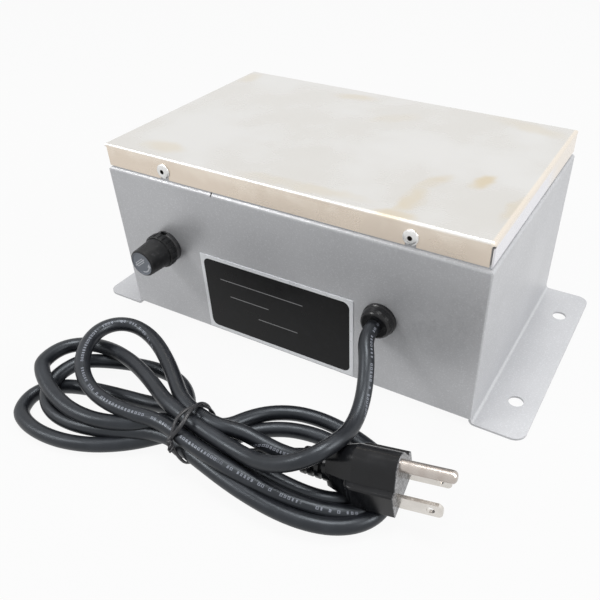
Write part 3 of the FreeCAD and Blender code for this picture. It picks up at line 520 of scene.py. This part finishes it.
tieCoat = mottled("tieCoat", (0.010, 0.010, 0.012), (0.022, 0.022, 0.025), 2.0, (0.30, 0.45),
                  0.03)
twistTie = swept("twistTie", tiePath(), tieCoat.material, Width=tie["width"] * mm,
                 Flatness=tie["flatness"], Step=tie["meshStep"] * mm)
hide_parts("twist_tie")
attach(twistTie, "housing")
print("cord: %d points, %.3f m, with its tie" % (len(cordPoints), lineLength(cordLine)))


def dress(made, *names):  # a CAD node keeps its shape and takes this finish
    for name in names:
        for slot in nodes[name].material_slots:
            slot.material = made.material
        if not nodes[name].material_slots:
            nodes[name].data.materials.append(made.material)


# body: silver paint with a fine metallic flake
paint = {
    "dark": (0.490, 0.495, 0.510),
    "light": (0.540, 0.545, 0.560),
    "flake": (0.80, 0.81, 0.84),
    "flakeSize": 0.40,
    "flakeShine": 0.24,
    "cloud": 40.0,
    "peel": 0.9,
    "relief": 0.012,
    "rough": (0.34, 0.48),
    "metal": 0.45,
}
silver = Finish("silverPaint", Metallic=paint["metal"])
place = silver.place()
cloud = silver.noise(place, 1 / (paint["cloud"] * mm))
peel = silver.noise(place, 1 / (paint["peel"] * mm), 2.0)
glint = silver.smooth(silver.cells(place, paint["flakeSize"] * mm), 0.80, 0.97)
uneven = silver.smooth(cloud * 0.6 + peel * 0.4, 0.36, 0.64)
coat = silver.blend(uneven, paint["dark"], paint["light"])
silver.set(Base_Color=silver.blend(glint * paint["flakeShine"], coat, paint["flake"]),
           Roughness=silver.smooth(peel - glint * 0.3, 0.2, 0.7, *paint["rough"]))
silver.bump(peel + glint * 0.3, paint["relief"] * mm)
dress(silver, "body_shell")
print("body painted")

# cover: stainless with yellow-brown stains on top; a painted tan reflection on the front skirt,
# darker towards its bottom, and along the right edge and the rear of the right side skirt;
# near-white painted light on both side skirts
cover = {
    "height": 87.0,
    "front": -56.7,
    "end": 89.7,
    "steel": (0.680, 0.664, 0.634),
    "pale": (0.706, 0.698, 0.680),
    "stain": (0.640, 0.555, 0.410),
    # the two tans: painted reflection on the skirts, the deeper one towards the front skirt's
    # bottom
    "tan": (0.840, 0.760, 0.660),
    "paintedReflectionTanLow": (0.740, 0.645, 0.545),
    # near-white painted light on both side skirts
    "side": (0.800, 0.795, 0.830),
    "rough": (0.25, 0.33),
    "bendRough": 0.12,
    "cloud": 34.0,
    "patch": 16.0,
    # length and breadth of the rolling marks, and their depth
    "rolled": (14.0, 0.35, 0.0008),
    # size and reach of the stains' wandering outlines
    "wander": (9.0, 7.0),
    # middle x and y, half length and width, turn, strength
    "stains": [
        (52.5, -24.5, 10.5, 4.2, 70.0, 0.62),
        (51.0, -42.0, 14.0, 4.6, 92.0, 0.80),
        (50.0, -55.0, 9.0, 3.4, 10.0, 0.75),
        (70.5, -14.5, 7.5, 4.4, 75.0, 0.95),
        (88.0, -30.0, 13.0, 3.8, 80.0, 1.00),
        (-20.5, 46.5, 11.0, 5.0, 10.0, 0.45),
        (10.0, 30.0, 13.0, 6.0, 40.0, 0.30),
        (-64.0, -47.5, 12.0, 6.0, 5.0, 0.45),
        (-84.5, 46.0, 6.0, 9.0, 0.0, 0.35),
        (8.0, -51.5, 30.0, 4.0, 2.0, 0.40),
        (70.0, 49.0, 22.0, 6.0, -14.0, 0.35),
    ],
}
steel = Finish("stainless", Metallic=0.85)
place = steel.place()
x, y, z = steel.millimetres(place)
wanderSize, wanderReach = cover["wander"]
loose = steel.shaken(place, wanderSize * mm, wanderReach * mm)
spots = []
for middleX, middleY, long, wide, turn, strength in cover["stains"]:
    middle = (middleX * mm, middleY * mm, cover["height"] * mm)
    local = steel.centred(loose, middle, (long * mm, wide * mm, 1.0), (0.0, 0.0, radians(turn)))
    spots.append(steel.smooth(steel.distance(local), 1.25, 0.35) * strength)
stained = steel.most(spots)
cloud = steel.noise(place, 1 / (cover["cloud"] * mm), 3.0, 0.5)
patch = steel.noise(loose, 1 / (cover["patch"] * mm), 2.0)
long, wide, deep = cover["rolled"]
marks = steel.centred(place, (0.0, 0.0, 0.0), (long * mm, wide * mm, wide * mm))
rolled = steel.noise(marks, 1.0, 2.0)

onTop = steel.smooth(z, cover["height"] - 0.8, cover["height"])
front = steel.smooth(y, cover["front"] + 0.9, cover["front"]) * (1 - onTop)
sides = steel.smooth(abs(x), cover["end"] - 0.9, cover["end"]) * (1 - onTop)
bend = steel.smooth(z, cover["height"] - 1.4, cover["height"] - 0.6)
bend *= steel.smooth(z, cover["height"] + 0.4, cover["height"] - 0.1)
curled = steel.smooth(y, cover["front"] + 2.1, cover["front"] + 0.9) * bend
# painted tan reflection along the right edge's bend and over the rear of the right side skirt
paintedEdgeReflection = steel.smooth(x, cover["end"] - 1.8, cover["end"] - 0.8)
paintedEdgeReflection *= steel.smooth(z, cover["height"] - 2.4, cover["height"] - 1.4)
paintedRearReflection = sides * steel.smooth(x, 0.0, 10.0) * steel.smooth(y + cloud * 20, 12.0, 40.0)

plain = steel.blend(steel.smooth(cloud, 0.35, 0.65), cover["steel"], cover["pale"])
top = steel.blend(stained * steel.smooth(cloud, 0.15, 0.55), plain, cover["stain"])
# painted tan reflection on the front skirt, in patches and darker towards its bottom
reflectionTanShare = steel.smooth(patch * 0.7 + z * 0.03 - 2.47, 0.32, 0.58)
paintedFrontReflection = steel.blend(reflectionTanShare, cover["paintedReflectionTanLow"], cover["tan"])
# front skirt takes the painted tan reflection, side skirts the near-white painted light
facesWithPaintedLight = steel.blend(sides, steel.blend(front, top, paintedFrontReflection), cover["side"])
dull = steel.smooth(cloud * 0.8 + rolled * 0.12 + stained * 0.15 + 0.04, 0.35, 0.70,
                    *cover["rough"])
steel.set(Base_Color=steel.blend(steel.either(paintedEdgeReflection, paintedRearReflection) * 0.85, facesWithPaintedLight, cover["tan"]),
          Roughness=dull + curled * cover["bendRough"])
steel.bump(rolled * (onTop * 0.8 + 0.15), deep * mm)
dress(steel, "cover_plate")
print("cover stained in %d places" % len(spots))

# rivets: bright aluminium, with painted shade in the bore
rivet = {"middle": 0.7, "half": 58.0, "height": 81.3, "bore": (0.84, 1.12), "shade": 1.5,
         "dark": (0.66, 0.66, 0.65), "light": (0.86, 0.86, 0.85), "paintedBoreShade": (0.045, 0.035, 0.028)}
bright = mottled("rivetAluminium", rivet["dark"], rivet["light"], rivet["shade"], (0.24, 0.40),
                 0.02, Metallic=0.9)
place = bright.place()
x, y, z = bright.millimetres(place)
dx = abs(abs(x - rivet["middle"]) - rivet["half"])
dz = z - rivet["height"]
boreInside, boreOutside = rivet["bore"]
# painted shade inside each rivet's bore
bore = bright.smooth(dx * dx + dz * dz, boreOutside ** 2, boreInside ** 2)
shade = bright.noise(place, 1 / (rivet["shade"] * mm))
bright.set(Base_Color=bright.blend(bore, bright.blend(shade, rivet["dark"], rivet["light"]),
                                   rivet["paintedBoreShade"]))
dress(bright, "cover_rivets")

# nameplate: printed black inside a silver border, its text left off
plate = {
    "middle": (-4.6, 24.1),
    "half": (39.6, 20.6),
    "border": 1.7,
    "corner": 3.2,
    # middle x and z, half length
    "rules": [(-12.0, 33.6, 22.0), (-19.0, 25.2, 10.5), (-4.0, 17.4, 10.5)],
    "ruleHeight": 0.16,
    "ruleColour": (0.45, 0.45, 0.46),
    "metal": [(0.80, 0.82, 0.85), (0.94, 0.95, 0.97)],
    "ink": [(0.0035, 0.0036, 0.0040), (0.0080, 0.0081, 0.0090)],
    "rough": (0.26, 0.42),
}
badge = Finish("nameplatePrint", Metallic=0.25, Specular_IOR_Level=0.2)
place = badge.place()
x, y, z = badge.millimetres(place)
inner = [half - plate["border"] for half in plate["half"]]
field = badge.within(x, z, plate["middle"], inner, plate["corner"])
ruled = badge.most([badge.within(x, z, (ruleX, ruleZ), (half, plate["ruleHeight"]), 0.0, 0.14)
                    for ruleX, ruleZ, half in plate["rules"]])
worn = badge.noise(place, 1 / (6 * mm), 4.0, 0.65)
ink = badge.blend(badge.smooth(worn, 0.45, 0.75), *plate["ink"])
printed = badge.blend(field, badge.blend(worn, *plate["metal"]), ink)
badge.set(Base_Color=badge.blend(ruled * 0.55, printed, plate["ruleColour"]),
          Roughness=badge.smooth(worn, 0.3, 0.7, *plate["rough"]))
badge.bump(field * 0.5 + worn * 0.1, 0.03 * mm)
dress(badge, "nameplate")

# fuse cap: black knob, its end printed with a turning arrow and the fuse sign
cap = {
    "axis": (-63.0, 43.0),
    "face": -74.2,
    "rim": 5.55,
    "ring": 4.15,
    "arc": (-0.75, 0.84),
    "tilt": 38.0,
    "signPlace": (-0.6, 0.9),
    "signHalf": (2.7, 1.0),
    "signLine": 0.38,
    "wireHalf": (3.7, 0.17),
    "black": [(0.0060, 0.0063, 0.0070), (0.026, 0.026, 0.028)],
    "disc": [(0.148, 0.165, 0.192), (0.255, 0.275, 0.310)],
    "print": (0.62, 0.64, 0.68),
    "rough": (0.34, 0.58),
    "scuff": 1.6,
}
knob = Finish("capPlastic", Specular_IOR_Level=0.30)
place = knob.place()
x, y, z = knob.millimetres(place)
dx, dz = x - cap["axis"][0], z - cap["axis"][1]
reach = dx.math("SQRT", dx * dx + dz * dz)
angle = dx.math("ARCTAN2", dz, dx)
onEnd = knob.smooth(y, cap["face"], cap["face"] - 0.3)

arcMiddle, arcHalf = cap["arc"]
arc = knob.smooth(abs(reach - cap["ring"]), 0.38, 0.26)
arc *= knob.smooth(abs(angle - arcMiddle), arcHalf + 0.02, arcHalf - 0.02)
headX, headZ = dx - cap["ring"], dz + 0.3
head = knob.smooth(abs(headX) + headZ * 0.55, 0.78, 0.62) * knob.smooth(headZ, -0.75, -0.65)

tiltX, tiltZ = cos(radians(cap["tilt"])), sin(radians(cap["tilt"]))
signX = dx * tiltX + dz * tiltZ
signZ = dz * tiltX - dx * tiltZ
outer = cap["signHalf"]
inner = [half - cap["signLine"] for half in outer]
sign = knob.within(signX, signZ, cap["signPlace"], outer, 0.0, 0.12)
sign -= knob.within(signX, signZ, cap["signPlace"], inner, 0.0, 0.12)
sign += knob.within(signX, signZ, cap["signPlace"], cap["wireHalf"], 0.0, 0.12)
mark = onEnd * knob.either(arc + head, sign)

scuff = knob.noise(place, 1 / (cap["scuff"] * mm), 5.0, 0.65)
black = knob.blend(knob.smooth(scuff, 0.52, 0.70), *cap["black"])
onDisc = onEnd * knob.smooth(reach, cap["rim"] + 0.15, cap["rim"] - 0.1)
ended = knob.blend(onDisc, black, knob.blend(scuff, *cap["disc"]))
knob.set(Base_Color=knob.blend(mark * 0.9, ended, cap["print"]),
         Roughness=knob.smooth(scuff, 0.35, 0.65, *cap["rough"]))
knob.bump(scuff, 0.06 * mm)
dress(knob, "fuse_cap")

# plug: glossy moulded black, with a greyer, mottled face between the blades
plug = {
    "face": (84.0, -109.8, 13.6),
    "out": (0.9869, 0.1299, 0.0959),
    "skin": [(0.0040, 0.0042, 0.0050), (0.0080, 0.0083, 0.0098)],
    "faceColours": [(0.045, 0.046, 0.050), (0.26, 0.26, 0.27)],
    "rough": (0.18, 0.26),
    "relief": 0.03,
}
moulded = Finish("plugPlastic", Specular_IOR_Level=0.30)
place = moulded.place()
facing = moulded.node("ShaderNodeVectorMath", {"operation": "DOT_PRODUCT"},
                      (place, plug["out"]), "Value")
facing = facing * (1 / mm) - Vector(plug["face"]).dot(Vector(plug["out"]))
onFace = moulded.smooth(facing, -0.45, -0.15)
swirl = moulded.noise(moulded.shaken(place, 3 * mm, 3 * mm), 1 / (1.1 * mm), 4.0, 0.7)
cloud = moulded.noise(place, 1 / (7 * mm))
face = moulded.blend(moulded.smooth(swirl, 0.40, 0.62), *plug["faceColours"])
moulded.set(Base_Color=moulded.blend(onFace, moulded.blend(cloud, *plug["skin"]), face),
            Roughness=moulded.smooth(cloud, 0.35, 0.65, *plug["rough"]))
moulded.bump(swirl * onFace, plug["relief"] * mm)
dress(moulded, "plug_body")

# the other finishes: dark and light colour, size of the clouds, roughness, relief, constants
plated = {"Metallic": 0.9}
nickel = {"Metallic": 0.95}
finishes = [
    ("bushingNylon", (0.006, 0.006, 0.007), (0.010, 0.010, 0.011), 3.0, (0.20, 0.28), 0.004,
     {"Specular_IOR_Level": 0.30}, ["strain_relief"]),
    ("bladeNickel", (0.66, 0.63, 0.59), (0.72, 0.69, 0.65), 5.0, (0.18, 0.24), 0.0,
     nickel, ["plug_blades"]),
    ("pinNickel", (0.447, 0.397, 0.362), (0.502, 0.458, 0.422), 6.0, (0.20, 0.26), 0.0,
     nickel, ["plug_ground_pin"]),
    ("zincPlate", (0.50, 0.51, 0.53), (0.68, 0.69, 0.70), 9.0, (0.26, 0.42), 0.01,
     plated, ["base_plate", "front_clamp", "rear_clamp"]),
    ("zincFasteners", (0.56, 0.56, 0.53), (0.74, 0.74, 0.72), 3.0, (0.22, 0.38), 0.01,
     plated, ["base_bolts", "base_nuts", "core_bolts", "core_nuts", "earth_nut", "earth_screw"]),
    ("nylonFormer", (0.72, 0.70, 0.63), (0.86, 0.84, 0.78), 6.0, (0.38, 0.52), 0.03,
     {}, ["left_former", "right_former"]),
    ("holderPlastic", (0.012, 0.012, 0.013), (0.030, 0.030, 0.032), 2.5, (0.32, 0.50), 0.05,
     {}, ["fuse_holder", "fuse_holder_nut"]),
    ("tinnedBrass", (0.62, 0.58, 0.48), (0.80, 0.78, 0.72), 2.5, (0.22, 0.38), 0.01,
     plated, ["earth_lug", "end_terminal", "side_terminal"]),
    ("fuseNickel", (0.66, 0.65, 0.62), (0.80, 0.79, 0.76), 2.0, (0.15, 0.28), 0.01,
     nickel, ["fuse_end_caps"]),
    ("springSteel", (0.55, 0.56, 0.57), (0.76, 0.76, 0.76), 1.5, (0.20, 0.34), 0.01,
     nickel, ["fuse_link", "fuse_spring"]),
    ("fuseGlass", (0.90, 0.94, 0.95), (0.96, 0.98, 0.99), 4.0, (0.02, 0.08), 0.0,
     {"Transmission_Weight": 1.0, "IOR": 1.5}, ["fuse_tube"]),
    ("brownWire", (0.14, 0.052, 0.020), (0.25, 0.10, 0.04), 3.0, (0.28, 0.42), 0.02,
     {}, ["fuse_wire", "live_wire"]),
    ("blueWire", (0.03, 0.11, 0.38), (0.06, 0.19, 0.55), 3.0, (0.28, 0.42), 0.02,
     {}, ["coil_link", "neutral_wire"]),
    ("greenWire", (0.06, 0.30, 0.07), (0.12, 0.46, 0.13), 3.0, (0.28, 0.42), 0.02,
     {}, ["earth_wire"]),
]
for name, dark, light, grain, rough, relief, constants, pieces in finishes:
    dress(mottled(name, dark, light, grain, rough, relief, **constants), *pieces)


def layered(name, axis, pitch, colours, rough, relief, **constants):  # lines at a fixed pitch
    made = Finish(name, **constants)
    where = made.place()
    mark = made.millimetres(where)[axis]
    ridge = made.smooth(abs((mark * (1 / pitch)) % 1.0 - 0.5) * 2, 0.0, 1.0)
    cloud = made.noise(where, 1 / (8 * mm), 4.0)
    body = made.blend(made.smooth(cloud, 0.35, 0.65), colours[1], colours[2])
    made.set(Base_Color=made.blend(ridge, colours[0], body),
             Roughness=made.smooth(cloud, 0.3, 0.7, *rough))
    made.bump(ridge, relief * mm)
    return made


# magnet wire: the first colour is painted shade in the grooves between the turns
copperAndGrooveShade = [(0.10, 0.03, 0.010), (0.42, 0.17, 0.06), (0.66, 0.33, 0.14)]
amber = [(0.55, 0.43, 0.10), (0.70, 0.58, 0.18), (0.82, 0.70, 0.26)]
sheets = [(0.05, 0.05, 0.052), (0.22, 0.23, 0.24), (0.36, 0.38, 0.40)]
dress(layered("magnetWire", 2, 1.1, copperAndGrooveShade, (0.24, 0.36), 0.35, Metallic=0.8),
      "left_winding", "right_winding")
dress(layered("coilTape", 2, 9.5, amber, (0.22, 0.34), 0.05), "left_tape", "right_tape")
dress(layered("coreSteel", 1, 0.7, sheets, (0.34, 0.50), 0.12, Metallic=0.8),
      "core_laminations")
print("finishes:", len(bpy.data.materials))

# plain pale floor, soft lamps and a white surround
stage = {
    "half": 3.0,
    "floor": (0.42, 0.42, 0.42, 1.0),
    "floorWhite": 0.93,
    "sky": (0.98, 0.99, 1.0, 1.0),
    "skyStrength": 0.40,
    # place, target, size, power
    "lamps": {
        "overhead": ((0.05, 0.05, 1.25), (0.0, 0.0, 0.0), (0.55, 0.42), 9.5),
        "left": ((-0.70, -0.65, 0.85), (0.0, 0.0, 0.04), (0.35, 0.35), 5.0),
        "right": ((1.00, 0.10, 0.60), (0.0, 0.0, 0.04), (0.45, 0.45), 7.0),
    },
}
white = (1.0, 1.0, 1.0, 1.0)
half = stage["half"]
floorMesh = bpy.data.meshes.new("floor")
floorMesh.from_pydata([(-half, -half, 0.0), (half, -half, 0.0), (half, half, 0.0),
                       (-half, half, 0.0)], [], [(0, 1, 2, 3)])
linked("floor", floorMesh)
floorMaterial = bpy.data.materials.new("floor")
floorMaterial.use_nodes = True
floorTree = Tree(floorMaterial.node_tree)
floorTree.nodeTree.nodes.clear()
matt = floorTree.node("ShaderNodeBsdfDiffuse", None, {"Color": stage["floor"]})
glow = floorTree.node("ShaderNodeEmission", None, {"Color": white, "Strength": 1.0})
share = floorTree.node("ShaderNodeMixShader", None,
                       (floorTree.seen() * stage["floorWhite"], matt, glow))
floorOut = floorTree.nodeTree.nodes.new("ShaderNodeOutputMaterial")
floorTree.nodeTree.links.new(share.socket, floorOut.inputs[0])
floorMesh.materials.append(floorMaterial)

world = bpy.data.worlds.new("surround")
bpy.context.scene.world = world
world.use_nodes = True
sky = Tree(world.node_tree)
sky.nodeTree.nodes.clear()
soft = sky.node("ShaderNodeBackground", None,
                {"Color": stage["sky"], "Strength": stage["skyStrength"]})
plain = sky.node("ShaderNodeBackground", None, {"Color": white, "Strength": 1.0})
mixed = sky.node("ShaderNodeMixShader", None, (sky.seen(), soft, plain))
skyOut = sky.nodeTree.nodes.new("ShaderNodeOutputWorld")
sky.nodeTree.links.new(mixed.socket, skyOut.inputs[0])

for name, (place, target, size, power) in stage["lamps"].items():
    data = bpy.data.lights.new(name, "AREA")
    data.shape = "RECTANGLE"
    data.size, data.size_y = size
    data.energy = power
    lamp = linked(name, data)
    lamp.location = place
    aim = Vector(target) - Vector(place)
    lamp.rotation_euler = aim.to_track_quat("-Z", "Y").to_euler()
print("floor, surround and", len(stage["lamps"]), "lamps set")
